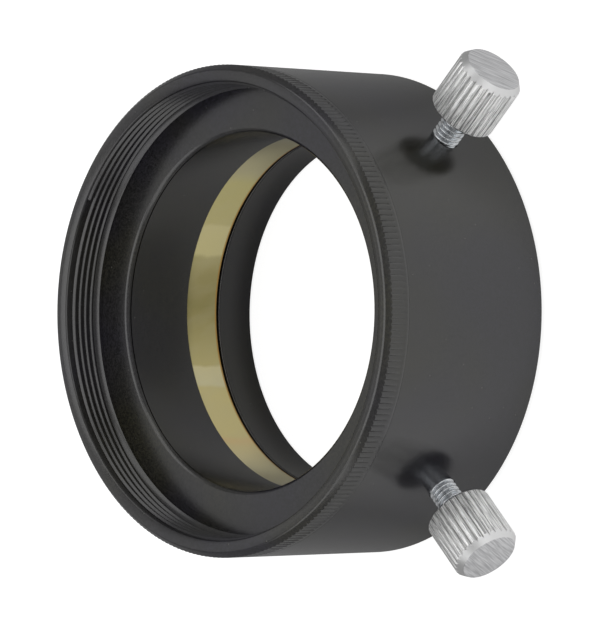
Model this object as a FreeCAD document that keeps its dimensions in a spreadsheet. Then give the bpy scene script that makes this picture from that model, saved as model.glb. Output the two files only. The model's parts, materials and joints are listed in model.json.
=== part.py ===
import FreeCAD, Part
import math
import os
import Sketcher
from FreeCAD import Placement, Rotation, Vector

# Clamping nosepiece adapter for a telescope. One turned body carries a large fine thread in its
# front mouth and a bore for a two inch eyepiece barrel behind it. A split brass ring sits in a
# groove of the bore, and two thumbscrews at right angles press the ring onto the barrel.
#
# Frame: +Z runs along the optical axis, from the eyepiece face at z = 0 to the threaded mouth.
# +X points midway between the two thumbscrews, and the upper screw leans towards +Y.

# Every driving size, in millimetres or degrees, with the words that say what it is
SIZES = [
    ("body_length", 31.0, "eyepiece face to front rim"),
    ("rim_wall", 2.45, "wall outside the threaded mouth"),
    ("front_rim_chamfer", 0.8, "outer edge of the front rim"),
    ("rear_rim_chamfer", 0.8, "outer edge of the eyepiece face"),
    ("thread_diameter", 64.6, "wall of the threaded mouth, at the roots of the thread"),
    ("thread_mouth_chamfer", 0.8, "lead-in of the threaded mouth"),
    ("shoulder_depth", 6.1, "front rim down to the flat shoulder behind the thread"),
    ("shoulder_corner", 0.3, "slope in the corner between the threaded wall and the shoulder"),
    ("bore_diameter", 51.0, "bore for the two inch barrel"),
    ("bore_mouth_chamfer", 0.45, "edge between the shoulder and the bore"),
    ("bore_entry_chamfer", 0.4, "edge between the eyepiece face and the bore"),
    ("screw_height", 10.0, "eyepiece face to the axes of the thumbscrews"),
    ("screw_spread", 90.0, "angle between the two thumbscrews"),
    ("ring_width", 6.0, "brass ring, along the optical axis"),
    ("ring_thickness", 0.9, "brass ring, across"),
    ("ring_recess", 0.1, "how far the ring lies back from the wall of the bore"),
    ("ring_edge_chamfer", 0.12, "broken inner edges of the brass ring"),
    ("ring_split", 1.5, "gap where the brass ring is cut through"),
    ("ring_side_clearance", 0.4, "spare width of the groove, on its rear side"),
    ("ring_back_clearance", 0.1, "spare depth of the groove behind the ring"),
    ("stud_diameter", 4.0, "thumbscrew thread, over its crests"),
    ("stud_exposed", 4.4, "outside of the body to the underside of the head, screws backed off"),
    ("stud_seat_depth", 6.0, "thread held inside the head"),
    ("stud_tip_chamfer", 0.5, "both ends of the thread"),
    ("stud_clearance", 0.05, "radial clearance of the thread in the tapped hole"),
    ("stud_tip_gap", 0.65, "screw tip to the outside of the ring, screws backed off"),
    ("knob_diameter", 9.7, "thumbscrew head, over its flutes"),
    ("knob_height", 8.7, "thumbscrew head, along its axis"),
    ("knob_top_chamfer_height", 1.0, "broad smooth chamfer of the head, along its axis"),
    ("knob_top_chamfer_width", 0.75, "the same chamfer, across"),
    ("knob_base_chamfer", 0.3, "lower edge of the head"),
    ("knob_stud_clearance", 0.03, "radial clearance of the stud's seat in the head"),
    ("knob_seat_spare", 0.3, "seat depth left below the end of the stud"),
    ("flute_count", 30, "flutes round the head"),
    ("flute_depth", 0.3, "depth of a flute"),
    ("flute_width", 0.64, "width of a flute at the head's outside"),
]


def new_sheet(doc):
    """Write the driving sizes to a spreadsheet: words, value, and the alias it goes by."""
    sheet = doc.addObject("Spreadsheet::Sheet", "Sizes")
    for row, (alias, size, words) in enumerate(SIZES, start=1):
        sheet.set(f"A{row}", words)
        sheet.set(f"B{row}", str(size))
        sheet.setAlias(f"B{row}", alias)
    doc.recompute()
    return sheet


doc = FreeCAD.newDocument("nosepiece_adapter")
sizes = new_sheet(doc)


def number(expression):
    """The present value of an expression in the spreadsheet's aliases."""
    found = sizes.evalExpression(expression)
    return float(getattr(found, "Value", found))


def origin_plane(body, role):
    """One of a body's own origin planes, by its role."""
    return next(part for part in body.Origin.OriginFeatures if part.Role == role)


def new_body(label):
    """An empty body that carries the label of its sub-part."""
    body = doc.addObject("PartDesign::Body", label)
    body.Label = label
    return body


def new_sketch(body, name, role, offset=None):
    """A sketch on one of the body's origin planes, moved in that plane's frame if asked."""
    sketch = body.newObject("Sketcher::SketchObject", name)
    sketch.AttachmentSupport = [(origin_plane(body, role), "")]
    sketch.MapMode = "FlatFace"
    if offset is not None:
        sketch.AttachmentOffset = offset
    return sketch


def draw_outline(sketch, corners):
    """Draw a closed outline. Each corner is a pair of expressions, across and up."""
    spots = [Vector(number(across), number(up), 0) for across, up in corners]
    for index, spot in enumerate(spots):
        sketch.addGeometry(Part.LineSegment(spot, spots[(index + 1) % len(spots)]), False)
    for index in range(len(spots)):
        following = (index + 1) % len(spots)
        sketch.addConstraint(Sketcher.Constraint("Coincident", index, 2, following, 1))
    for index, (across, up) in enumerate(corners):
        pin_corner(sketch, index, "DistanceX", -2, across)
        pin_corner(sketch, index, "DistanceY", -1, up)


def pin_corner(sketch, index, kind, axis, expression):
    """Tie one coordinate of a corner to its expression, or to the axis where it is zero."""
    if expression == "0":
        sketch.addConstraint(Sketcher.Constraint("PointOnObject", index, 1, axis))
        return
    size = number(expression)
    place = sketch.addConstraint(Sketcher.Constraint(kind, -1, 1, index, 1, size))
    sketch.setExpression(f"Constraints[{place}]", expression)


def draw_circle(sketch, up, radius):
    """Draw a circle centred on the sketch's upright axis. Height and radius are expressions."""
    centre = Vector(0, number(up), 0)
    sketch.addGeometry(Part.Circle(centre, Vector(0, 0, 1), number(radius)), False)
    sketch.addConstraint(Sketcher.Constraint("PointOnObject", 0, 3, -2))
    height = sketch.addConstraint(Sketcher.Constraint("DistanceY", -1, 1, 0, 3, number(up)))
    sketch.setExpression(f"Constraints[{height}]", up)
    size = sketch.addConstraint(Sketcher.Constraint("Radius", 0, number(radius)))
    sketch.setExpression(f"Constraints[{size}]", radius)


def revolve(body, name, sketch):
    """Turn a sketch a full circle about its own upright axis."""
    feature = body.newObject("PartDesign::Revolution", name)
    feature.Profile = (sketch, [""])
    feature.ReferenceAxis = (sketch, ["V_Axis"])
    feature.Angle = 360
    doc.recompute()
    return feature


def circle_edges(feature, radius, height):
    """The names of a feature's circular edges about its Z axis, at a radius and a height."""
    near = 0.001
    names = []
    for index, edge in enumerate(feature.Shape.Edges, start=1):
        curve = edge.Curve
        if not isinstance(curve, Part.Circle):
            continue
        at_height = abs(curve.Center.z - height) < near
        on_axis = math.hypot(curve.Center.x, curve.Center.y) < near
        if at_height and on_axis and abs(curve.Radius - radius) < near:
            names.append(f"Edge{index}")
    return names


def break_edge(body, name, base, radius, height, size):
    """Chamfer the circular edge at a radius and a height. All three sizes are expressions."""
    feature = body.newObject("PartDesign::Chamfer", name)
    feature.Base = (base, circle_edges(base, number(radius), number(height)))
    feature.setExpression("Size", size)
    doc.recompute()
    return feature


# Places that several pieces share, as expressions in the aliases
THREAD_WALL = "Sizes.thread_diameter / 2"
OUTSIDE = f"{THREAD_WALL} + Sizes.rim_wall"
BORE_WALL = "Sizes.bore_diameter / 2"
SHOULDER = "Sizes.body_length - Sizes.shoulder_depth"
RING_INSIDE = f"{BORE_WALL} + Sizes.ring_recess"
RING_OUTSIDE = f"{RING_INSIDE} + Sizes.ring_thickness"
RING_TOP = "Sizes.screw_height + Sizes.ring_width / 2"
RING_BOTTOM = "Sizes.screw_height - Sizes.ring_width / 2"
GROOVE_FLOOR = f"{RING_OUTSIDE} + Sizes.ring_back_clearance"
GROOVE_BOTTOM = f"{RING_BOTTOM} - Sizes.ring_side_clearance"
HEAD_BASE = f"{OUTSIDE} + Sizes.stud_exposed"
STUD_REACH = f"({HEAD_BASE} - ({RING_OUTSIDE} + Sizes.stud_tip_gap))"
TAPPED_RADIUS = "Sizes.stud_diameter / 2 + Sizes.stud_clearance"


def turn_adapter_body():
    """The turned body: stepped bore, shoulder, ring groove, chamfered rims, tapped holes."""
    body = new_body("adapter_body")

    # Section of the ring of metal, with the groove for the brass ring
    section = new_sketch(body, "section", "XZ_Plane")
    draw_outline(
        section,
        [
            (BORE_WALL, "0"),
            (OUTSIDE, "0"),
            (OUTSIDE, "Sizes.body_length"),
            (THREAD_WALL, "Sizes.body_length"),
            (THREAD_WALL, SHOULDER),
            (BORE_WALL, SHOULDER),
            (BORE_WALL, RING_TOP),
            (GROOVE_FLOOR, RING_TOP),
            (GROOVE_FLOOR, GROOVE_BOTTOM),
            (BORE_WALL, GROOVE_BOTTOM),
        ],
    )
    turned = revolve(body, "turned_ring", section)

    # Sloped edges, from the front rim to the eyepiece face
    edges = [
        ("front_rim", OUTSIDE, "Sizes.body_length", "Sizes.front_rim_chamfer"),
        ("thread_lead_in", THREAD_WALL, "Sizes.body_length", "Sizes.thread_mouth_chamfer"),
        ("shoulder_corner", THREAD_WALL, SHOULDER, "Sizes.shoulder_corner"),
        ("bore_mouth", BORE_WALL, SHOULDER, "Sizes.bore_mouth_chamfer"),
        ("bore_entry", BORE_WALL, "0", "Sizes.bore_entry_chamfer"),
        ("rear_rim", OUTSIDE, "0", "Sizes.rear_rim_chamfer"),
    ]
    last = turned
    for name, radius, height, size in edges:
        last = break_edge(body, name, last, radius, height, size)

    # One tapped hole, drilled outwards from the optical axis, then repeated for the other screw
    spread = number("Sizes.screw_spread")
    turned_plane = Placement(Vector(0, 0, 0), Rotation(Vector(0, 1, 0), -spread / 2))
    outline = new_sketch(body, "tapped_hole_outline", "YZ_Plane", turned_plane)
    draw_circle(outline, "Sizes.screw_height", TAPPED_RADIUS)
    hole = body.newObject("PartDesign::Pocket", "tapped_hole")
    hole.Profile = (outline, [""])
    hole.Type = "ThroughAll"
    hole.Reversed = True
    doc.recompute()
    holes = body.newObject("PartDesign::PolarPattern", "tapped_holes")
    holes.Originals = [hole]
    holes.Axis = (origin_plane(body, "Z_Axis"), [""])
    holes.setExpression("Angle", "Sizes.screw_spread")
    holes.Occurrences = 2
    body.Tip = holes
    doc.recompute()
    return body


def form_compression_ring():
    """The brass ring: a thin band with broken inner edges, cut through on the screws' side."""
    body = new_body("compression_ring")
    section = new_sketch(body, "section", "XZ_Plane")
    draw_outline(
        section,
        [
            (f"{RING_INSIDE} + Sizes.ring_edge_chamfer", RING_BOTTOM),
            (RING_OUTSIDE, RING_BOTTOM),
            (RING_OUTSIDE, RING_TOP),
            (f"{RING_INSIDE} + Sizes.ring_edge_chamfer", RING_TOP),
            (RING_INSIDE, f"{RING_TOP} - Sizes.ring_edge_chamfer"),
            (RING_INSIDE, f"{RING_BOTTOM} + Sizes.ring_edge_chamfer"),
        ],
    )
    revolve(body, "band", section)

    slot = new_sketch(body, "split_outline", "XY_Plane")
    draw_outline(
        slot,
        [
            (f"{RING_INSIDE} - Sizes.ring_thickness", "-Sizes.ring_split / 2"),
            (f"{RING_OUTSIDE} + Sizes.ring_thickness", "-Sizes.ring_split / 2"),
            (f"{RING_OUTSIDE} + Sizes.ring_thickness", "Sizes.ring_split / 2"),
            (f"{RING_INSIDE} - Sizes.ring_thickness", "Sizes.ring_split / 2"),
        ],
    )
    split = body.newObject("PartDesign::Pocket", "split")
    split.Profile = (slot, [""])
    split.Type = "ThroughAll"
    split.Midplane = True
    doc.recompute()
    return body


def seat_on_screw_axis(body, angle):
    """Stand a thumbscrew piece on its radial axis, its own Z pointing out of the adapter."""
    reach = number(HEAD_BASE)
    turn = math.radians(angle)
    spot = Vector(reach * math.cos(turn), reach * math.sin(turn), number("Sizes.screw_height"))
    outward = Rotation(Vector(0, 0, 1), angle) * Rotation(Vector(0, 1, 0), 90)
    body.Placement = Placement(spot, outward)


def turn_knob(label, angle):
    """A thumbscrew head: chamfered drum with a blind seat for the stud and straight flutes."""
    body = new_body(label)
    radius = "Sizes.knob_diameter / 2"
    seat = "Sizes.stud_diameter / 2 + Sizes.knob_stud_clearance"
    seat_end = "Sizes.stud_seat_depth + Sizes.knob_seat_spare"
    section = new_sketch(body, "section", "XZ_Plane")
    draw_outline(
        section,
        [
            (seat, "0"),
            (f"{radius} - Sizes.knob_base_chamfer", "0"),
            (radius, "Sizes.knob_base_chamfer"),
            (radius, "Sizes.knob_height - Sizes.knob_top_chamfer_height"),
            (f"{radius} - Sizes.knob_top_chamfer_width", "Sizes.knob_height"),
            ("0", "Sizes.knob_height"),
            ("0", seat_end),
            (seat, seat_end),
        ],
    )
    revolve(body, "drum", section)

    # The V of a flute runs on past the outside, to twice its depth and so twice its width
    notch = new_sketch(body, "flute_outline", "XY_Plane")
    draw_outline(
        notch,
        [
            (f"{radius} - Sizes.flute_depth", "0"),
            (f"{radius} + Sizes.flute_depth", "Sizes.flute_width"),
            (f"{radius} + Sizes.flute_depth", "-Sizes.flute_width"),
        ],
    )
    flute = body.newObject("PartDesign::Pocket", "flute")
    flute.Profile = (notch, [""])
    flute.Reversed = True
    flute.setExpression("Length", "Sizes.knob_height")
    doc.recompute()
    flutes = body.newObject("PartDesign::PolarPattern", "flutes")
    flutes.Originals = [flute]
    flutes.Axis = (notch, ["N_Axis"])
    flutes.Angle = 360
    flutes.setExpression("Occurrences", "Sizes.flute_count")
    body.Tip = flutes
    doc.recompute()
    seat_on_screw_axis(body, angle)
    return body


def turn_stud(label, angle):
    """A thumbscrew thread, as the plain rod over its crests, chamfered at both ends."""
    body = new_body(label)
    radius = "Sizes.stud_diameter / 2"
    section = new_sketch(body, "section", "XZ_Plane")
    draw_outline(
        section,
        [
            ("0", f"-{STUD_REACH}"),
            (f"{radius} - Sizes.stud_tip_chamfer", f"-{STUD_REACH}"),
            (radius, f"Sizes.stud_tip_chamfer - {STUD_REACH}"),
            (radius, "Sizes.stud_seat_depth - Sizes.stud_tip_chamfer"),
            (f"{radius} - Sizes.stud_tip_chamfer", "Sizes.stud_seat_depth"),
            ("0", "Sizes.stud_seat_depth"),
        ],
    )
    revolve(body, "rod", section)
    seat_on_screw_axis(body, angle)
    return body


def check_and_write(bodies):
    """Stop at a failed object or a bad solid, and otherwise write each sub-part's file."""
    doc.recompute()
    for item in doc.Objects:
        if "Invalid" in item.State or "Error" in item.State:
            raise RuntimeError(f"{item.Name} failed: {item.State}")
    for body in bodies:
        shape = body.Shape
        if shape.isNull() or not shape.isValid() or len(shape.Solids) != 1:
            raise RuntimeError(f"{body.Label} isn't one valid solid")
    os.makedirs("parts", exist_ok=True)
    for body in bodies:
        body.Shape.exportStep(f"parts/{body.Label}.step")
        box = body.Shape.BoundBox
        print(f"{body.Label}: {body.Shape.Volume:.1f} mm3, z {box.ZMin:.2f} to {box.ZMax:.2f}")


half_spread = number("Sizes.screw_spread") / 2
pieces = [turn_adapter_body(), form_compression_ring()]
for side, direction in (("upper", half_spread), ("lower", -half_spread)):
    pieces.append(turn_knob(f"{side}_screw_knob", direction))
    pieces.append(turn_stud(f"{side}_screw_stud", direction))
check_and_write(pieces)
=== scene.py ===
# %% [markdown]
# # A clamping nosepiece adapter
# The object is a black anodised ring with a fine thread in its front mouth, a brass band in its
# bore, and two small thumbscrews that press the band onto an eyepiece barrel. The CAD model
# gives every piece its place, and this file gives each one its finished shape and its surface.
# Loading the CAD model comes first, because all that follows is built around it.

# %% Load the CAD model
import json
import math

import bmesh
import bpy
from mathutils import Matrix, Vector

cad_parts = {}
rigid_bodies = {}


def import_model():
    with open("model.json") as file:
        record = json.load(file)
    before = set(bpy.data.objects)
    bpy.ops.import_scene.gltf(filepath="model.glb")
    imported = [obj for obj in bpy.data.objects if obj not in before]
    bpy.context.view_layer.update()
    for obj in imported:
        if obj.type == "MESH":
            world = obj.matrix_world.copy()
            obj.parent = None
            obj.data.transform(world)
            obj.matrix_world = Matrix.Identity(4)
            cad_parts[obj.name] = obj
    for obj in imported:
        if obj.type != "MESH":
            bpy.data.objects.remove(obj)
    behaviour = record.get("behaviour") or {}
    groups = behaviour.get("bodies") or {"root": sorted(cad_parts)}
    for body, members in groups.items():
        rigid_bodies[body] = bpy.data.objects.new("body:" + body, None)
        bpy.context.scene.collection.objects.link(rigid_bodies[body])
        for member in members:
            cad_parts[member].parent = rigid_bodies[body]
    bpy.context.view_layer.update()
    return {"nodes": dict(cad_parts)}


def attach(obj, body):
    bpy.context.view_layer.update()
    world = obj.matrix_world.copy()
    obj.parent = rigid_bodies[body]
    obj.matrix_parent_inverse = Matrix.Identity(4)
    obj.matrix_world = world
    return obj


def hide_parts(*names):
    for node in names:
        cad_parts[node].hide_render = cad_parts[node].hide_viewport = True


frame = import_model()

MM = 0.001
print("CAD nodes:", sorted(frame["nodes"]))

# %% [markdown]
# ## A few tools for the hands
# Operators act on whatever is selected, so each new piece starts with nothing selected. A lathe
# part is a stack of rings, and an edge or a ring is found again by its radius and its height.

# %% Selecting by place
def start_piece():
    """Leave edit mode and select nothing, so that the next primitive stands alone."""
    if bpy.context.mode != "OBJECT":
        bpy.ops.object.mode_set(mode="OBJECT")
    bpy.ops.object.select_all(action="DESELECT")


def name_piece(name):
    """Name the newest object and its mesh."""
    piece = bpy.context.active_object
    piece.name = name
    piece.data.name = name
    return piece


def radius_of(point):
    """How far a point lies from the Z axis."""
    return math.hypot(point.x, point.y)


def select_points(piece, wanted):
    """In edit mode, select the points whose place passes the test."""
    bpy.ops.mesh.select_all(action="DESELECT")
    mesh = bmesh.from_edit_mesh(piece.data)
    count = 0
    for point in mesh.verts:
        if wanted(point.co):
            point.select_set(True)
            count += 1
    mesh.select_flush(True)
    bmesh.update_edit_mesh(piece.data)
    return count


def select_rings(piece, places):
    """In edit mode, select the edges that run round at any of these radii and heights."""
    bpy.ops.mesh.select_all(action="DESELECT")
    bpy.ops.mesh.select_mode(type="EDGE")
    mesh = bmesh.from_edit_mesh(piece.data)
    near = 0.01 * MM
    count = 0
    for edge in mesh.edges:
        first, second = (point.co for point in edge.verts)
        if abs(first.z - second.z) > near or abs(radius_of(first) - radius_of(second)) > near:
            continue
        for radius, height in places:
            if abs(radius_of(first) - radius * MM) < near and abs(first.z - height * MM) < near:
                edge.select_set(True)
                count += 1
    bmesh.update_edit_mesh(piece.data)
    return count


def report(piece):
    """Print a finished piece's size and triangle count."""
    triangles = sum(len(face.vertices) - 2 for face in piece.data.polygons)
    size = " x ".join(f"{side / MM:.2f}" for side in piece.dimensions)
    print(f"{piece.name}: {size} mm, {triangles} triangles")


# %% [markdown]
# ## The turned body
# The real body is turned from bar. Its outline is walked ring by ring: a circle is extruded, and
# each new ring is moved to the next corner and scaled to its radius. The circle has four points
# for each groove of the knurl on the front rim. The outline also holds the slope at the foot of
# the thread and the rounded mouth of the bore.

# %% The outline of the body, radius and height in millimetres
KNURL_GROOVES = 256
POINTS_PER_GROOVE = 4
OUTSIDE = 34.735
FRONT = 31.0
BODY_CORNERS = [
    (25.9, 0.0),
    (33.95, 0.0),
    (OUTSIDE, 0.8),
    (OUTSIDE, 7.0),
    (OUTSIDE, 13.0),
    (OUTSIDE, 26.87),
    (OUTSIDE - 0.04, 26.95),
    (OUTSIDE, 27.03),
    (OUTSIDE, 27.5),
    (OUTSIDE, 27.9),
    (OUTSIDE, 30.2),
    (33.95, FRONT),
    (33.3, FRONT),
    (32.42, 30.71),
    (32.3, 30.5),
    (32.3, 25.45),
    (32.0, 25.12),
    (31.62, 24.9),
    (25.95, 24.9),
    (25.824, 24.827),
    (25.706, 24.741),
    (25.598, 24.644),
    (25.5, 24.535),
    (25.5, 24.2),
    (25.75, 24.18),
    (25.75, 24.0),
    (25.5, 23.98),
    (25.5, 13.0),
    (26.6, 13.0),
    (26.6, 6.6),
    (25.5, 6.6),
    (25.5, 0.4),
    (25.9, 0.0),
]


def walk_outline(corners):
    """Extrude the selected ring along an outline, one corner after the other."""
    for (radius, height), (next_radius, next_height) in zip(corners, corners[1:]):
        rise = (next_height - height) * MM
        bpy.ops.mesh.extrude_edges_move(TRANSFORM_OT_translate={"value": (0, 0, rise)})
        scale = next_radius / radius
        bpy.ops.transform.resize(
            value=(scale, scale, 1), center_override=(0, 0, next_height * MM)
        )


start_piece()
bpy.ops.mesh.primitive_circle_add(
    vertices=POINTS_PER_GROOVE * KNURL_GROOVES,
    radius=BODY_CORNERS[0][0] * MM,
    location=(0, 0, 0),
)
body = name_piece("turned_body")
bpy.ops.object.mode_set(mode="EDIT")
bpy.ops.mesh.select_all(action="SELECT")
walk_outline(BODY_CORNERS)
bpy.ops.mesh.select_all(action="SELECT")
bpy.ops.mesh.remove_doubles(threshold=0.002 * MM)
bpy.ops.mesh.normals_make_consistent(inside=False)
print("points in the body after the walk:", len(bmesh.from_edit_mesh(body.data).verts))

# %% [markdown]
# Anodised edges are never knife sharp: a tool breaks them and the finish follows. Each edge gets
# a small round of its own size.

# %% Break the edges
EDGE_ROUNDS = [
    (0.10, 3, [(33.95, 0.0), (OUTSIDE, 0.8)]),
    (0.26, 4, [(33.95, FRONT)]),
    (0.10, 3, [(33.3, FRONT), (32.42, 30.71)]),
    (0.07, 2, [(25.9, 0.0), (25.5, 0.4)]),
    (0.05, 2, [(25.5, 13.0)]),
    (0.22, 4, [(25.5, 6.6)]),
]
for size, segments, places in EDGE_ROUNDS:
    found = select_rings(body, places)
    bpy.ops.mesh.bevel(offset=size * MM, segments=segments, affect="EDGES")
    print(f"rounded {found} edges by {size} mm")

# %% [markdown]
# ## The knurled rim
# A band of fine straight grooves runs round the outside just behind the front rim. One line in
# four is scaled towards the axis, and its neighbours follow a little, which makes a row of thin
# V grooves with broad ridges between them. At the rim the grooves run out into the chamfer: their
# ends slide along its slope, so the chamfer stays smooth and only its border is serrated.

# %% Press the knurl into the rim
KNURL_DEPTHS = [0.16, 0.02]
KNURL_LOW = 27.8
KNURL_TOP = 30.4


def groove_line(point):
    """How many lines a point lies from the bottom of its groove."""
    turns = math.atan2(point.y, point.x) / math.tau
    line = round(turns * POINTS_PER_GROOVE * KNURL_GROOVES) % POINTS_PER_GROOVE
    return min(line, POINTS_PER_GROOVE - line)


def in_knurl(point):
    """Whether a point is on the outside wall between the band's end and the rim's edge."""
    return radius_of(point) > 34.4 * MM and KNURL_LOW * MM < point.z < KNURL_TOP * MM


bpy.ops.mesh.select_mode(type="VERT")
for line, depth in enumerate(KNURL_DEPTHS):
    found = select_points(body, lambda p: in_knurl(p) and groove_line(p) == line)
    scale = (OUTSIDE - depth) / OUTSIDE
    bpy.ops.transform.resize(value=(scale, scale, 1), center_override=(0, 0, 0))
    select_points(body, lambda p: in_knurl(p) and groove_line(p) == line and p.z > 30.1 * MM)
    bpy.ops.transform.translate(value=(0, 0, depth * MM))
    print(f"moved {found} points inwards by {depth} mm, the upper ones up the chamfer too")
bpy.ops.object.mode_set(mode="OBJECT")

# %% [markdown]
# ## The tapped holes
# Each screw runs in a hole through the wall into the groove of the brass band. A cylinder on the
# screw's axis is cut away from the body, and the cylinder is then thrown away.

# %% Drill for the two screws
SCREW_ANGLES = {"upper": 45, "lower": -45}
SCREW_HEIGHT = 10.0
HOLE_RADIUS = 2.05


def cut_away(piece, tool):
    """Cut a tool's shape out of a piece, and throw the tool away."""
    bpy.context.view_layer.objects.active = piece
    cut = piece.modifiers.new("cut", "BOOLEAN")
    cut.operation = "DIFFERENCE"
    cut.solver = "EXACT"
    cut.object = tool
    bpy.ops.object.modifier_apply(modifier=cut.name)
    bpy.data.objects.remove(tool)


def screw_frame(angle, reach):
    """The place of a screw's own frame, its Z pointing out of the body along the screw."""
    turn = Matrix.Rotation(math.radians(angle), 4, "Z") @ Matrix.Rotation(math.radians(90), 4, "Y")
    outward = Vector((math.cos(math.radians(angle)), math.sin(math.radians(angle)), 0))
    spot = outward * reach * MM + Vector((0, 0, SCREW_HEIGHT * MM))
    return Matrix.Translation(spot) @ turn


for side, angle in SCREW_ANGLES.items():
    start_piece()
    bpy.ops.mesh.primitive_cylinder_add(vertices=96, radius=HOLE_RADIUS * MM, depth=16 * MM)
    drill = name_piece("drill")
    drill.matrix_world = screw_frame(angle, 32)
    cut_away(body, drill)
    print(f"drilled for the {side} screw, points in the body: {len(body.data.vertices)}")

# %% [markdown]
# Smooth shading follows the turned wall, and the weighted normals let the broad faces decide, so
# that the small rounds don't pull shadows across them.

# %% Shade the body
def shade_turned(piece, angle=28):
    """Shade smooth up to an angle, with the broad faces deciding the normals."""
    start_piece()
    piece.select_set(True)
    bpy.context.view_layer.objects.active = piece
    bpy.ops.object.shade_smooth_by_angle(angle=math.radians(angle))
    weigh = piece.modifiers.new("weigh", "WEIGHTED_NORMAL")
    weigh.keep_sharp = True
    bpy.ops.object.modifier_apply(modifier=weigh.name)


shade_turned(body)
report(body)

# %% [markdown]
# ## The thread in the mouth
# A fine right-handed thread, 24 to the inch, stands on the wall of the mouth. Its ridge has one
# small section, and a Screw modifier winds it up the wall. The chamfer of the mouth then cuts
# the last turns away, as the lathe does.

# %% Wind the thread's ridge
THREAD_CREST = 31.95
THREAD_ROOT = 32.36
THREAD_PITCH = 1.058
THREAD_TURNS = 4.5
THREAD_START_ANGLE = -30
THREAD_START_HEIGHT = 25.38


def ridge_section(name, crest, root, base_width, crest_width, rounding):
    """A wire section of a ridge in the XZ plane, its crest and its root at given radii."""
    start_piece()
    bpy.ops.mesh.primitive_plane_add(size=1 * MM, rotation=(math.radians(90), 0, 0))
    bpy.ops.object.transform_apply()
    ridge = name_piece(name)
    bpy.ops.object.mode_set(mode="EDIT")
    bpy.ops.mesh.select_all(action="SELECT")
    bpy.ops.transform.resize(value=(abs(root - crest), 1, base_width))
    bpy.ops.transform.translate(value=((root + crest) / 2 * MM, 0, 0))
    bpy.ops.mesh.select_mode(type="VERT")
    select_points(ridge, lambda p: abs(p.x - crest * MM) < 0.01 * MM)
    narrow = crest_width / base_width
    bpy.ops.transform.resize(value=(1, 1, narrow), center_override=(crest * MM, 0, 0))
    bpy.ops.mesh.bevel(offset=rounding * MM, segments=3, affect="VERTICES")
    bpy.ops.mesh.select_all(action="SELECT")
    bpy.ops.mesh.delete(type="ONLY_FACE")
    bpy.ops.object.mode_set(mode="OBJECT")
    return ridge


def wind(ridge, pitch, turns, steps):
    """Wind a section up its Z axis into a right-handed ridge with closed ends."""
    screw = ridge.modifiers.new("wind", "SCREW")
    screw.axis = "Z"
    screw.angle = turns * math.tau
    screw.screw_offset = turns * pitch * MM
    screw.steps = steps
    screw.render_steps = steps
    screw.use_merge_vertices = False
    bpy.ops.object.modifier_apply(modifier=screw.name)
    bpy.ops.object.mode_set(mode="EDIT")
    bpy.ops.mesh.select_all(action="SELECT")
    bpy.ops.mesh.fill_holes(sides=12)
    bpy.ops.mesh.select_all(action="SELECT")
    bpy.ops.mesh.normals_make_consistent(inside=False)
    bpy.ops.object.mode_set(mode="OBJECT")


mouth_thread = ridge_section("mouth_thread", THREAD_CREST, THREAD_ROOT, 0.64, 0.16, 0.04)
wind(mouth_thread, THREAD_PITCH, THREAD_TURNS, 1190)
mouth_thread.rotation_euler.z = math.radians(THREAD_START_ANGLE)
mouth_thread.location.z = THREAD_START_HEIGHT * MM
bpy.ops.object.transform_apply()
print("points in the thread of the mouth:", len(mouth_thread.data.vertices))

# %% Cut the thread back to the chamfer
start_piece()
bpy.ops.mesh.primitive_cone_add(
    vertices=512,
    radius1=31.0 * MM,
    radius2=33.4 * MM,
    depth=1.38 * MM,
    location=(0, 0, 30.38 * MM),
)
chamfer_tool = name_piece("chamfer_tool")
start_piece()
cut_away(mouth_thread, chamfer_tool)
shade_turned(mouth_thread, 40)
report(mouth_thread)

# %% [markdown]
# ## The brass band
# The compression ring is a strip of brass bent to a ring, with a gap where its ends meet. Its
# section is a small plane, spun round the axis for all but the gap.

# %% Spin the band
BAND_MIDDLE = 26.05
BAND_THICKNESS = 0.9
BAND_WIDTH = 6.0
BAND_GAP = 3.3
start_piece()
bpy.ops.mesh.primitive_plane_add(size=1 * MM, rotation=(math.radians(90), 0, 0))
bpy.ops.object.transform_apply()
band = name_piece("brass_band")
bpy.ops.object.mode_set(mode="EDIT")
bpy.ops.mesh.select_all(action="SELECT")
bpy.ops.transform.resize(value=(BAND_THICKNESS, 1, BAND_WIDTH))
bpy.ops.transform.translate(value=(BAND_MIDDLE * MM, 0, SCREW_HEIGHT * MM))
bpy.ops.mesh.spin(
    steps=320, angle=math.radians(360 - BAND_GAP), center=(0, 0, 0), axis=(0, 0, 1)
)
bpy.ops.mesh.select_all(action="SELECT")
bpy.ops.mesh.normals_make_consistent(inside=False)
select_rings(band, [(25.6, 7.0), (25.6, 13.0), (26.5, 7.0), (26.5, 13.0)])
bpy.ops.mesh.bevel(offset=0.17 * MM, segments=3, affect="EDGES")
bpy.ops.object.mode_set(mode="OBJECT")
band.rotation_euler.z = math.radians(BAND_GAP / 2)
bpy.ops.object.transform_apply()
shade_turned(band)
report(band)

# %% [markdown]
# ## The thumbscrew heads
# Each head is a small aluminium drum with thirty straight flutes, a broad smooth chamfer at its
# top and a narrow one below. It is built upright at the origin, with twelve points for each
# flute. The seat of the stud is drawn into the drum, and the edges then slide to make chamfers.

# %% Turn a head
HEAD_RADIUS = 4.85
HEAD_HEIGHT = 8.7
BASE_CHAMFER = 0.3
TOP_CHAMFER_WIDTH = 0.75
TOP_CHAMFER_HEIGHT = 1.0
FLUTES = 30
POINTS_PER_FLUTE = 12


def at_rim(point):
    """Whether a point of the head lies on its outermost ring."""
    return radius_of(point) > 4.7 * MM


start_piece()
bpy.ops.mesh.primitive_cylinder_add(
    vertices=POINTS_PER_FLUTE * FLUTES,
    radius=HEAD_RADIUS * MM,
    depth=HEAD_HEIGHT * MM,
    location=(0, 0, HEAD_HEIGHT / 2 * MM),
)
bpy.ops.object.transform_apply()
head = name_piece("thumbscrew_head")
bpy.ops.object.mode_set(mode="EDIT")
bpy.ops.mesh.select_mode(type="FACE")

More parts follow.
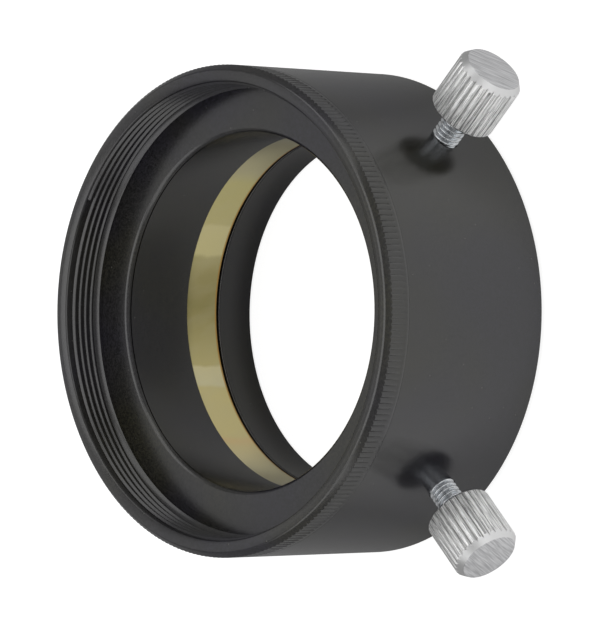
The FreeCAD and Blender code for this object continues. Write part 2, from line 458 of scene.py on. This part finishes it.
# The seat of the stud and the lower chamfer
select_points(head, lambda p: p.z < 0.1 * MM)
bpy.ops.mesh.inset(thickness=BASE_CHAMFER * MM)
bpy.ops.mesh.inset(thickness=2.52 * MM)
bpy.ops.mesh.extrude_region_move(TRANSFORM_OT_translate={"value": (0, 0, 6.3 * MM)})
bpy.ops.mesh.select_mode(type="VERT")
select_points(head, lambda p: p.z < 0.1 * MM and at_rim(p))
bpy.ops.transform.translate(value=(0, 0, BASE_CHAMFER * MM))

# The upper chamfer
bpy.ops.mesh.select_mode(type="FACE")
select_points(head, lambda p: p.z > 8.6 * MM)
bpy.ops.mesh.inset(thickness=TOP_CHAMFER_WIDTH * MM)
bpy.ops.mesh.select_mode(type="VERT")
select_points(head, lambda p: p.z > 8.6 * MM and at_rim(p))
bpy.ops.transform.translate(value=(0, 0, -TOP_CHAMFER_HEIGHT * MM))
print("points in the plain head:", len(bmesh.from_edit_mesh(head.data).verts))

# %% [markdown]
# The flutes are pressed in line by line, deepest in the middle. The end of each line slides
# along the chamfer it meets by as much as it moves inwards, which gives each flute its scalloped
# end and keeps the chamfers smooth.

# %% Press the flutes
FLUTE_DEPTHS = [0.25, 0.16, 0.07, 0.015, 0.0]
TOP_SLOPE = TOP_CHAMFER_HEIGHT / TOP_CHAMFER_WIDTH


def flute_line(point):
    """How many lines a point lies from the bottom of its flute."""
    turns = math.atan2(point.y, point.x) / math.tau
    line = round(turns * POINTS_PER_FLUTE * FLUTES) % POINTS_PER_FLUTE
    return min(line, POINTS_PER_FLUTE - line)


for line, depth in enumerate(FLUTE_DEPTHS):
    scale = (HEAD_RADIUS - depth) / HEAD_RADIUS
    for low, high, slide in ((0.2, 0.4, -depth), (7.6, 7.8, depth * TOP_SLOPE)):
        select_points(
            head,
            lambda p: low * MM < p.z < high * MM and at_rim(p) and flute_line(p) == line,
        )
        bpy.ops.transform.resize(value=(scale, scale, 1), center_override=(0, 0, 0))
        bpy.ops.transform.translate(value=(0, 0, slide * MM))
bpy.ops.object.mode_set(mode="OBJECT")
report(head)

# %% [markdown]
# ## The studs
# The thread of each screw is a steel M4 rod. Its core slides in and out with the screw. Its
# ridge is wound on at 0.7 mm a turn, like the thread in the mouth, and turns with the head, so
# that the screw really screws when it moves.

# %% Turn the core and wind its ridge
STUD_REACH = 12.0
STUD_PITCH = 0.7
CORE_RADIUS = 1.6
CORE_LENGTH = 17.6
start_piece()
bpy.ops.mesh.primitive_cylinder_add(
    vertices=64,
    radius=CORE_RADIUS * MM,
    depth=CORE_LENGTH * MM,
    location=(0, 0, (CORE_LENGTH / 2 - STUD_REACH) * MM),
)
bpy.ops.object.transform_apply()
core = name_piece("stud_core")
bpy.ops.object.mode_set(mode="EDIT")
select_rings(core, [(CORE_RADIUS, -STUD_REACH), (CORE_RADIUS, CORE_LENGTH - STUD_REACH)])
bpy.ops.mesh.bevel(offset=0.2 * MM, segments=2, affect="EDGES")
bpy.ops.object.mode_set(mode="OBJECT")
report(core)

stud_thread = ridge_section("stud_thread", 2.0, 1.57, 0.64, 0.17, 0.06)
wind(stud_thread, STUD_PITCH, 17.2, 48 * 17)
stud_thread.location.z = (-STUD_REACH + STUD_PITCH / 2) * MM
bpy.ops.object.transform_apply()
report(stud_thread)

# %% [markdown]
# ## Both screws in place
# One screw is modelled and the other is its copy. Before a piece goes to its place, its own
# coordinates are written to the mesh, so that the turning marks of its finish can follow it.

# %% Copy the screws and set them in place
HEAD_BASE = 39.15


def remember_own_place(piece):
    """Keep each point's place in the piece's own upright frame, in millimetres."""
    kept = piece.data.attributes.new("own_place", "FLOAT_VECTOR", "POINT")
    flat = [value / MM for point in piece.data.vertices for value in point.co]
    kept.data.foreach_set("vector", flat)


def set_in_place(pattern, name, angle):
    """Copy a piece with its own mesh and stand it on a screw's axis."""
    piece = pattern.copy()
    piece.data = pattern.data.copy()
    piece.name = name
    piece.data.name = name
    bpy.context.scene.collection.objects.link(piece)
    piece.data.transform(screw_frame(angle, HEAD_BASE))
    shade_turned(piece, 35)
    return piece


screws = {}
for pattern in (head, core, stud_thread):
    remember_own_place(pattern)
for side, angle in SCREW_ANGLES.items():
    screws[side] = (
        set_in_place(head, f"{side}_head", angle),
        set_in_place(core, f"{side}_core", angle),
        set_in_place(stud_thread, f"{side}_ridge", angle),
    )
for pattern in (head, core, stud_thread):
    bpy.data.objects.remove(pattern)
for pieces in screws.values():
    for piece in pieces:
        report(piece)

# %% [markdown]
# ## What moves with what
# The body's own pieces stay with the adapter. A stud's core rides on the sliding stud, and its
# head and ridge ride on the turning knob.

# %% Ride on the CAD bodies
for piece in (body, mouth_thread, band):
    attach(piece, "adapter")
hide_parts("adapter_body")
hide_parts("compression_ring")
for side, (knob, rod, ridge) in screws.items():
    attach(knob, f"{side}_knob")
    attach(rod, f"{side}_stud")
    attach(ridge, f"{side}_knob")
    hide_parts(f"{side}_screw_knob")
    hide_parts(f"{side}_screw_stud")

# %% [markdown]
# ## Finishes
# Every finish is a Principled shader fed by a few noise patterns. The turned parts get lines
# that run round the axis, which come from a noise that only knows radius and height.

# %% Tools for wiring a finish
def new_finish(name, metallic, roughness):
    """A material with its Principled shader, and the two plain numbers that it starts from."""
    finish = bpy.data.materials.new(name)
    finish.use_nodes = True
    shader = finish.node_tree.nodes["Principled BSDF"]
    shader.inputs["Metallic"].default_value = metallic
    shader.inputs["Roughness"].default_value = roughness
    return finish, shader


def add(finish, kind, inputs=None, **settings):
    """Add a node, set it up, and give its inputs a value or a link each."""
    made = finish.node_tree.nodes.new(kind)
    for key, value in settings.items():
        setattr(made, key, value)
    for key, value in (inputs or {}).items():
        if isinstance(value, bpy.types.NodeSocket):
            finish.node_tree.links.new(value, made.inputs[key])
        else:
            made.inputs[key].default_value = value
    return made


def own_point(finish, attribute=None):
    """A point's place in millimetres: the object's own, or one kept in an attribute."""
    if attribute:
        return add(finish, "ShaderNodeAttribute", attribute_name=attribute).outputs["Vector"]
    place = add(finish, "ShaderNodeTexCoord").outputs["Object"]
    scaled = add(
        finish,
        "ShaderNodeVectorMath",
        {0: place, "Scale": 1 / MM},
        operation="SCALE",
    )
    return scaled.outputs[0]


def turned_lines(finish, place, fineness, wander):
    """Noise in rings about the Z axis, that wanders a little on its way round."""
    split = add(finish, "ShaderNodeSeparateXYZ", {0: place})
    flat = add(
        finish, "ShaderNodeVectorMath", {0: place, 1: (1, 1, 0)}, operation="MULTIPLY"
    ).outputs[0]
    radius = add(finish, "ShaderNodeVectorMath", {0: flat}, operation="LENGTH").outputs["Value"]
    across = add(
        finish, "ShaderNodeMath", {0: radius, 1: fineness}, operation="MULTIPLY"
    ).outputs[0]
    along = add(
        finish, "ShaderNodeMath", {0: split.outputs["Z"], 1: fineness}, operation="MULTIPLY"
    ).outputs[0]
    round_x = add(
        finish, "ShaderNodeMath", {0: split.outputs["X"], 1: wander}, operation="MULTIPLY"
    ).outputs[0]
    round_y = add(
        finish, "ShaderNodeMath", {0: split.outputs["Y"], 1: wander}, operation="MULTIPLY"
    ).outputs[0]
    spot = add(
        finish, "ShaderNodeCombineXYZ", {"X": across, "Y": along, "Z": round_x}
    ).outputs[0]
    noise = add(
        finish,
        "ShaderNodeTexNoise",
        {"Vector": spot, "W": round_y, "Scale": 1.0, "Detail": 3.0},
        noise_dimensions="4D",
    )
    return noise.outputs[0]


def ranged(finish, value, low, high, at_low, at_high):
    """Map a value's range onto another, and hold it there."""
    mapped = add(
        finish,
        "ShaderNodeMapRange",
        {"Value": value, "From Min": low, "From Max": high, "To Min": at_low, "To Max": at_high},
    )
    return mapped.outputs["Result"]


def blend_colors(finish, share, first, second):
    """Mix two colours by a share from 0 to 1."""
    mixed = add(finish, "ShaderNodeMix", data_type="RGBA")
    finish.node_tree.links.new(share, mixed.inputs[0])
    for socket, color in ((mixed.inputs[6], first), (mixed.inputs[7], second)):
        if isinstance(color, bpy.types.NodeSocket):
            finish.node_tree.links.new(color, socket)
        else:
            socket.default_value = (*color, 1)
    return mixed.outputs[2]


def blend_values(finish, share, first, second):
    """Mix two patterns, or a pattern and a number, by a share from 0 to 1."""
    return add(finish, "ShaderNodeMix", {0: share, 2: first, 3: second}).outputs[0]


def bumped(finish, height, distance, strength, before=None):
    """A bump of a given depth in millimetres, on top of another where one is given."""
    bump = add(
        finish,
        "ShaderNodeBump",
        {"Height": height, "Distance": distance * MM, "Strength": strength},
    )
    if before is not None:
        finish.node_tree.links.new(before, bump.inputs["Normal"])
    return bump.outputs["Normal"]


def noise_at(finish, place, scale, detail=2.0):
    """Plain noise, its scale in cells per millimetre."""
    made = add(
        finish, "ShaderNodeTexNoise", {"Vector": place, "Scale": scale, "Detail": detail}
    )
    return made.outputs[0]


def feed(finish, shader, **values):
    """Link results to the shader's sockets of the same name."""
    for name, value in values.items():
        finish.node_tree.links.new(value, shader.inputs[name.replace("_", " ")])
    print(f"{finish.name}: {len(finish.node_tree.nodes)} nodes")


# %% [markdown]
# ### Black anodised aluminium
# The colour is a very dark grey that drifts a little between olive and violet. The sheen comes
# from the clear oxide: a soft reflection, broken up by the matt grain and by faint tool lines.
# A few pale specks of dust sit on it.

# %% The black finish of the body
black, shader = new_finish("black_anodised_aluminium", 0.0, 0.22)
shader.inputs["IOR"].default_value = 1.7
place = own_point(black)
lines = turned_lines(black, place, 9.0, 0.12)
grain = noise_at(black, place, 14.0, 2.0)
drift = noise_at(black, place, 0.05, 2.0)
OLIVE_BLACK = (0.0270, 0.0255, 0.0165)
VIOLET_BLACK = (0.0215, 0.0200, 0.0285)
tone = blend_colors(black, ranged(black, drift, 0.38, 0.62, 0, 1), OLIVE_BLACK, VIOLET_BLACK)
mottle = noise_at(black, place, 3.4, 3.0)
tone = blend_colors(black, ranged(black, mottle, 0.36, 0.64, 0.8, 0), tone, (0.004, 0.004, 0.004))
dust_cells = add(
    black, "ShaderNodeTexVoronoi", {"Vector": place, "Scale": 0.45}, feature="F1"
)
dust = ranged(black, dust_cells.outputs["Distance"], 0.05, 0.035, 0, 1)
tone = blend_colors(black, dust, tone, (0.09, 0.09, 0.08))
gloss = ranged(black, grain, 0.3, 0.7, 0.18, 0.26)
normal = bumped(black, lines, 0.004, 0.5)
normal = bumped(black, grain, 0.006, 0.35, normal)
feed(black, shader, Base_Color=tone, Roughness=gloss, Normal=normal)
for piece in (body, mouth_thread):
    piece.data.materials.clear()
    piece.data.materials.append(black)

# %% [markdown]
# ### Brass
# The band is smooth drawn brass, a little dulled. It mirrors its surroundings with hardly any
# blur, and fine lines from the rolling run along it. Bands of painted reflection, bright and dark,
# lie across it in broad zones.
# A colour ramp lays them out along the Y axis, which is up in the photograph, and a noise makes
# their borders wander.

# %% The painted reflection bands of the band
brass, shader = new_finish("ring_brass", 1.0, 0.12)
place = own_point(brass)
lines = turned_lines(brass, place, 6.0, 0.05)
band_border_noise = noise_at(brass, place, 0.25, 3.0)
split = add(brass, "ShaderNodeSeparateXYZ", {0: place}).outputs
wobble = add(
    brass, "ShaderNodeMath", {0: band_border_noise, 1: 1.2, 2: split["Y"]}, operation="MULTIPLY_ADD"
).outputs[0]
RAMP_LOW = -25.0
RAMP_HIGH = 30.0
# Painted reflection: the zones of this ramp are bright and dark bands in the colour, standing in
# for what the brass mirrors.
zones = add(brass, "ShaderNodeValToRGB", {0: ranged(brass, wobble, RAMP_LOW, RAMP_HIGH, 0, 1)})
PAINTED_REFLECTION_BANDS = [
    (-22.0, (0.90, 0.82, 0.50)),
    (-19.2, (0.94, 0.80, 0.42)),
    (-18.2, (1.00, 0.76, 0.38)),
    (-17.4, (0.96, 0.83, 0.40)),
    (-10.6, (0.94, 0.82, 0.39)),
    (-10.1, (1.00, 0.92, 0.56)),
    (-7.6, (1.00, 0.90, 0.52)),
    (-7.2, (0.80, 0.70, 0.33)),
    (1.5, (0.48, 0.42, 0.175)),
    (6.0, (0.56, 0.49, 0.22)),
    (8.6, (0.69, 0.61, 0.29)),
    (9.1, (0.95, 0.85, 0.43)),
    (13.0, (0.97, 0.87, 0.45)),
    (13.5, (0.83, 0.74, 0.35)),
    (19.5, (0.80, 0.72, 0.33)),
    (21.0, (0.70, 0.64, 0.38)),
]
ramp = zones.color_ramp
for _ in PAINTED_REFLECTION_BANDS[2:]:
    ramp.elements.new(0.5)
for stop, (spot, color) in zip(ramp.elements, PAINTED_REFLECTION_BANDS):
    stop.position = (spot - RAMP_LOW) / (RAMP_HIGH - RAMP_LOW)
    stop.color = (*color, 1)
print("zones of tarnish on the band:", len(ramp.elements))

# %% [markdown]
# Pale smears lie across the band, and its rear edge, which the rounding laid bare, is more
# orange than its face.

# %% The smears and the edge of the band
PALE_BRASS = (0.8, 0.74, 0.5)
EDGE_BRASS = (0.62, 0.36, 0.10)
smear_place = add(
    brass,
    "ShaderNodeMapping",
    {"Vector": place, "Rotation": (math.radians(20), 0, 0), "Scale": (9.0, 2.2, 7.0)},
    vector_type="TEXTURE",
).outputs[0]
smears = ranged(brass, noise_at(brass, smear_place, 1.0), 0.4, 0.7, 0, 0.18)
from_middle = add(
    brass, "ShaderNodeMath", {0: split["Z"], 1: SCREW_HEIGHT}, operation="SUBTRACT"
).outputs[0]
cut_edge = ranged(brass, from_middle, -2.55, -2.7, 0, 0.9)
tone = blend_colors(brass, smears, zones.outputs[0], PALE_BRASS)
tone = blend_colors(brass, cut_edge, tone, EDGE_BRASS)
gloss = ranged(brass, lines, 0.3, 0.7, 0.08, 0.13)
normal = bumped(brass, lines, 0.002, 0.4)
feed(brass, shader, Base_Color=tone, Roughness=gloss, Normal=normal)
band.data.materials.clear()
band.data.materials.append(brass)

# %% [markdown]
# ### Bare aluminium
# The heads are bare metal. Fine streaks run along the flutes, as the tool that pressed them left
# them, the chamfer is smooth, and the top keeps the straight slanting marks of a brush. The
# height in the head's own frame decides which of the patterns a point gets.

# %% The patterns of the heads
aluminium, shader = new_finish("knob_aluminium", 1.0, 0.32)
place = own_point(aluminium, "own_place")
split = add(aluminium, "ShaderNodeSeparateXYZ", {0: place})
on_top = ranged(aluminium, split.outputs["Z"], 8.62, 8.68, 0, 1)
on_chamfer = ranged(aluminium, split.outputs["Z"], 7.7, 7.8, 0, 1)
flat = add(
    aluminium, "ShaderNodeVectorMath", {0: place, 1: (1, 1, 0)}, operation="MULTIPLY"
).outputs[0]
radius = add(aluminium, "ShaderNodeVectorMath", {0: flat}, operation="LENGTH").outputs["Value"]
brush_spot = add(
    aluminium,
    "ShaderNodeMapping",
    {"Vector": place, "Rotation": (0, 0, math.radians(-29)), "Scale": (3.0, 0.17, 1.0)},
    vector_type="TEXTURE",
).outputs[0]
brush = noise_at(aluminium, brush_spot, 1.0, 3.0)
streak_spot = add(
    aluminium, "ShaderNodeVectorMath", {0: place, 1: (8.0, 8.0, 0.45)}, operation="MULTIPLY"
).outputs[0]
streak = noise_at(aluminium, streak_spot, 1.0, 4.0)
print("patterns of the heads:", len(aluminium.node_tree.nodes), "nodes")

# %% The finish of the heads
streaked = ranged(aluminium, streak, 0.42, 0.58, 0, 1)
brushed = ranged(aluminium, brush, 0.36, 0.66, 0, 1)
# Painted shade: the valleys of the flutes are darkened in the colour.
painted_valley_shade = ranged(aluminium, radius, 4.62, 4.74, 0.6, 0)
sides = blend_colors(aluminium, streaked, (0.62, 0.62, 0.62), (1.0, 1.0, 0.99))
sides = blend_colors(aluminium, painted_valley_shade, sides, (0.2, 0.2, 0.2))
sides = blend_colors(aluminium, on_chamfer, sides, (0.76, 0.76, 0.76))
top = blend_colors(aluminium, brushed, (0.46, 0.46, 0.47), (0.72, 0.72, 0.73))
tone = blend_colors(aluminium, on_top, sides, top)
plain = blend_values(aluminium, on_chamfer, streak, 0.5)
marks = blend_values(aluminium, on_top, plain, brush)
gloss = ranged(aluminium, marks, 0.3, 0.7, 0.24, 0.36)
gloss = blend_values(aluminium, on_chamfer, gloss, 0.42)
normal = bumped(aluminium, marks, 0.03, 0.5)
feed(aluminium, shader, Base_Color=tone, Roughness=gloss, Normal=normal)

# %% [markdown]
# ### Zinc plated steel
# The studs are bright zinc with a cool blue tint, and the rolled thread has a slight grain.

# %% The finish of the studs
zinc, shader = new_finish("plated_steel", 1.0, 0.26)
place = own_point(zinc, "own_place")
grain = noise_at(zinc, place, 1.5, 2.0)
tone = blend_colors(
    zinc, ranged(zinc, grain, 0.35, 0.65, 0, 1), (0.78, 0.81, 0.84), (0.86, 0.88, 0.90)
)
gloss = ranged(zinc, grain, 0.3, 0.7, 0.2, 0.28)
normal = bumped(zinc, grain, 0.002, 0.15)
feed(zinc, shader, Base_Color=tone, Roughness=gloss, Normal=normal)
for knob, rod, ridge in screws.values():
    for piece, finish in ((knob, aluminium), (rod, zinc), (ridge, zinc)):
        piece.data.materials.clear()
        piece.data.materials.append(finish)

# %% [markdown]
# ## Table, light and camera
# The adapter lies on its rear face on a white table in soft studio light, and the camera looks
# down on it at the photograph's angle. The table is white to the camera and keeps a faint
# shadow. In reflections it carries painted light and shade: it is brightest on the open side, has
# a painted shadow where the adapter stands, and a painted ring of light inside the bore, which
# lights the band and the wall of the bore.

# %% The white table
start_piece()
bpy.ops.mesh.primitive_plane_add(size=6)
table = name_piece("table")
white, shader = new_finish("white_table", 0.0, 0.6)
shader.inputs["Base Color"].default_value = (0.36, 0.36, 0.36, 1)
shader.inputs["Emission Color"].default_value = (1, 1, 1, 1)
rays = add(white, "ShaderNodeLightPath").outputs
mirrored = add(
    white,
    "ShaderNodeMath",
    {0: rays["Is Glossy Ray"], 1: rays["Is Transmission Ray"]},
    operation="MAXIMUM",
).outputs[0]
spot = add(white, "ShaderNodeTexCoord").outputs["Object"]
right = add(white, "ShaderNodeSeparateXYZ", {0: spot}).outputs["X"]
away = add(white, "ShaderNodeVectorMath", {0: spot}, operation="LENGTH").outputs["Value"]
# Painted light: a faint ring of light on the table inside the bore, seen only in reflections.
inner = ranged(white, away, 0.010, 0.0125, 0, 0.18)
outer = ranged(white, away, 0.0205, 0.0235, 1, 0)
painted_light_ring = add(white, "ShaderNodeMath", {0: inner, 1: outer}, operation="MULTIPLY").outputs[0]
# Painted shadow and light: in reflections the table is dim at and left of the adapter, and bright
# on its open right side.
outside = ranged(white, right, 0.014, 0.038, 0.04, 0.56)
painted_light_and_shadow = add(white, "ShaderNodeMath", {0: painted_light_ring, 1: outside}, operation="ADD").outputs[0]
glow = add(white, "ShaderNodeMath", {0: mirrored, 1: painted_light_and_shadow}, operation="MULTIPLY").outputs[0]
glow = add(
    white, "ShaderNodeMath", {0: rays["Is Camera Ray"], 1: 0.88, 2: glow}, operation="MULTIPLY_ADD"
).outputs[0]
feed(white, shader, Emission_Strength=glow)
table.data.materials.append(white)

# %% The studio's light
world = bpy.data.worlds.new("studio")
bpy.context.scene.world = world
world.use_nodes = True
air = world.node_tree.nodes["Background"]
rays = add(world, "ShaderNodeLightPath")
strength = ranged(world, rays.outputs["Is Camera Ray"], 0, 1, 0.27, 1.0)
world.node_tree.links.new(strength, air.inputs["Strength"])
air.inputs["Color"].default_value = (1, 1, 1, 1)


def add_softbox(name, spot, width, height, power):
    """A rectangular lamp that looks at the adapter from a spot, all in metres and watts."""
    lamp = bpy.data.lights.new(name, "AREA")
    lamp.shape = "RECTANGLE"
    lamp.size = width
    lamp.size_y = height
    lamp.energy = power
    holder = bpy.data.objects.new(name, lamp)
    bpy.context.scene.collection.objects.link(holder)
    holder.location = spot
    aim = Vector((0, 0, 0.015)) - Vector(spot)
    holder.rotation_euler = aim.to_track_quat("-Z", "Y").to_euler()
    return holder


add_softbox("side_softbox", (1.08, 0.10, 0.46), 1.6, 0.8, 3.4)
add_softbox("upper_softbox", (-0.10, 0.90, 0.90), 1.0, 0.5, 1.7)
add_softbox("lower_softbox", (-0.10, -0.90, 0.90), 1.0, 0.5, 1.7)
add_softbox("left_softbox", (-0.95, 0.00, 0.90), 1.2, 1.2, 1.5)
add_softbox("top_softbox", (0.06, 0.00, 1.30), 1.5, 1.0, 6.2)
print("softboxes:", sorted(lamp.name for lamp in bpy.data.lights))

# %% The camera of the photograph
FOCAL_PIXELS = 4511.889
PHOTO_PIXELS = 627
lens = bpy.data.cameras.new("photo_camera")
camera = bpy.data.objects.new("photo_camera", lens)
bpy.context.scene.collection.objects.link(camera)
camera.location = (0.4673313, -0.0024007, 0.4605783)
camera.rotation_euler = [math.radians(turn) for turn in (0.7578240, 46.3182254, 0.7774933)]
lens.sensor_width = 36
lens.lens = FOCAL_PIXELS * lens.sensor_width / PHOTO_PIXELS
lens.clip_start = 0.05
lens.clip_end = 20
bpy.context.scene.camera = camera
bpy.context.scene.view_settings.view_transform = "Standard"
print(f"camera: {lens.lens:.1f} mm lens, {camera.location.length:.3f} m from the adapter")
